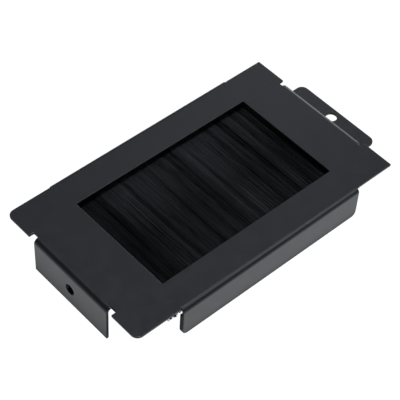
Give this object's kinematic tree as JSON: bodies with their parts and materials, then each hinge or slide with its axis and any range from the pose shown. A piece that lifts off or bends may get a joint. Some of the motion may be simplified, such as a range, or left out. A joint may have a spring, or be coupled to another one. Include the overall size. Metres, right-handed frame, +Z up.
{
  "type": "brush cable grommet",
  "caption": "Folded black steel plate with a brush-filled window that closes a cabinet cut-out round passing cables, a screw hole in its end flange and one in its stepped tab.",
  "frame": {"origin": "under the middle of the whole part, at the end flange's lower edge", "axes": "+X from the end flange to the stepped tab, +Y from the bristles' tips to their roots, +Z up through the window"},
  "size_m": [0.1862, 0.1036, 0.023],
  "materials": {
    "powder_coat": "matt black powder coat",
    "nylon": "black nylon filament",
    "zinc_steel": "bright zinc",
    "aluminium": "mill-finish extrusion"
  },
  "bodies": {
    "root": {"frame_plate": "powder_coat", "bristles": "nylon", "brush_channel": "zinc_steel", "core_wire": "zinc_steel", "brush_carrier": "aluminium", "rivet_bodies": "aluminium", "rivet_mandrels": "zinc_steel"}
  },
  "joints": []
}
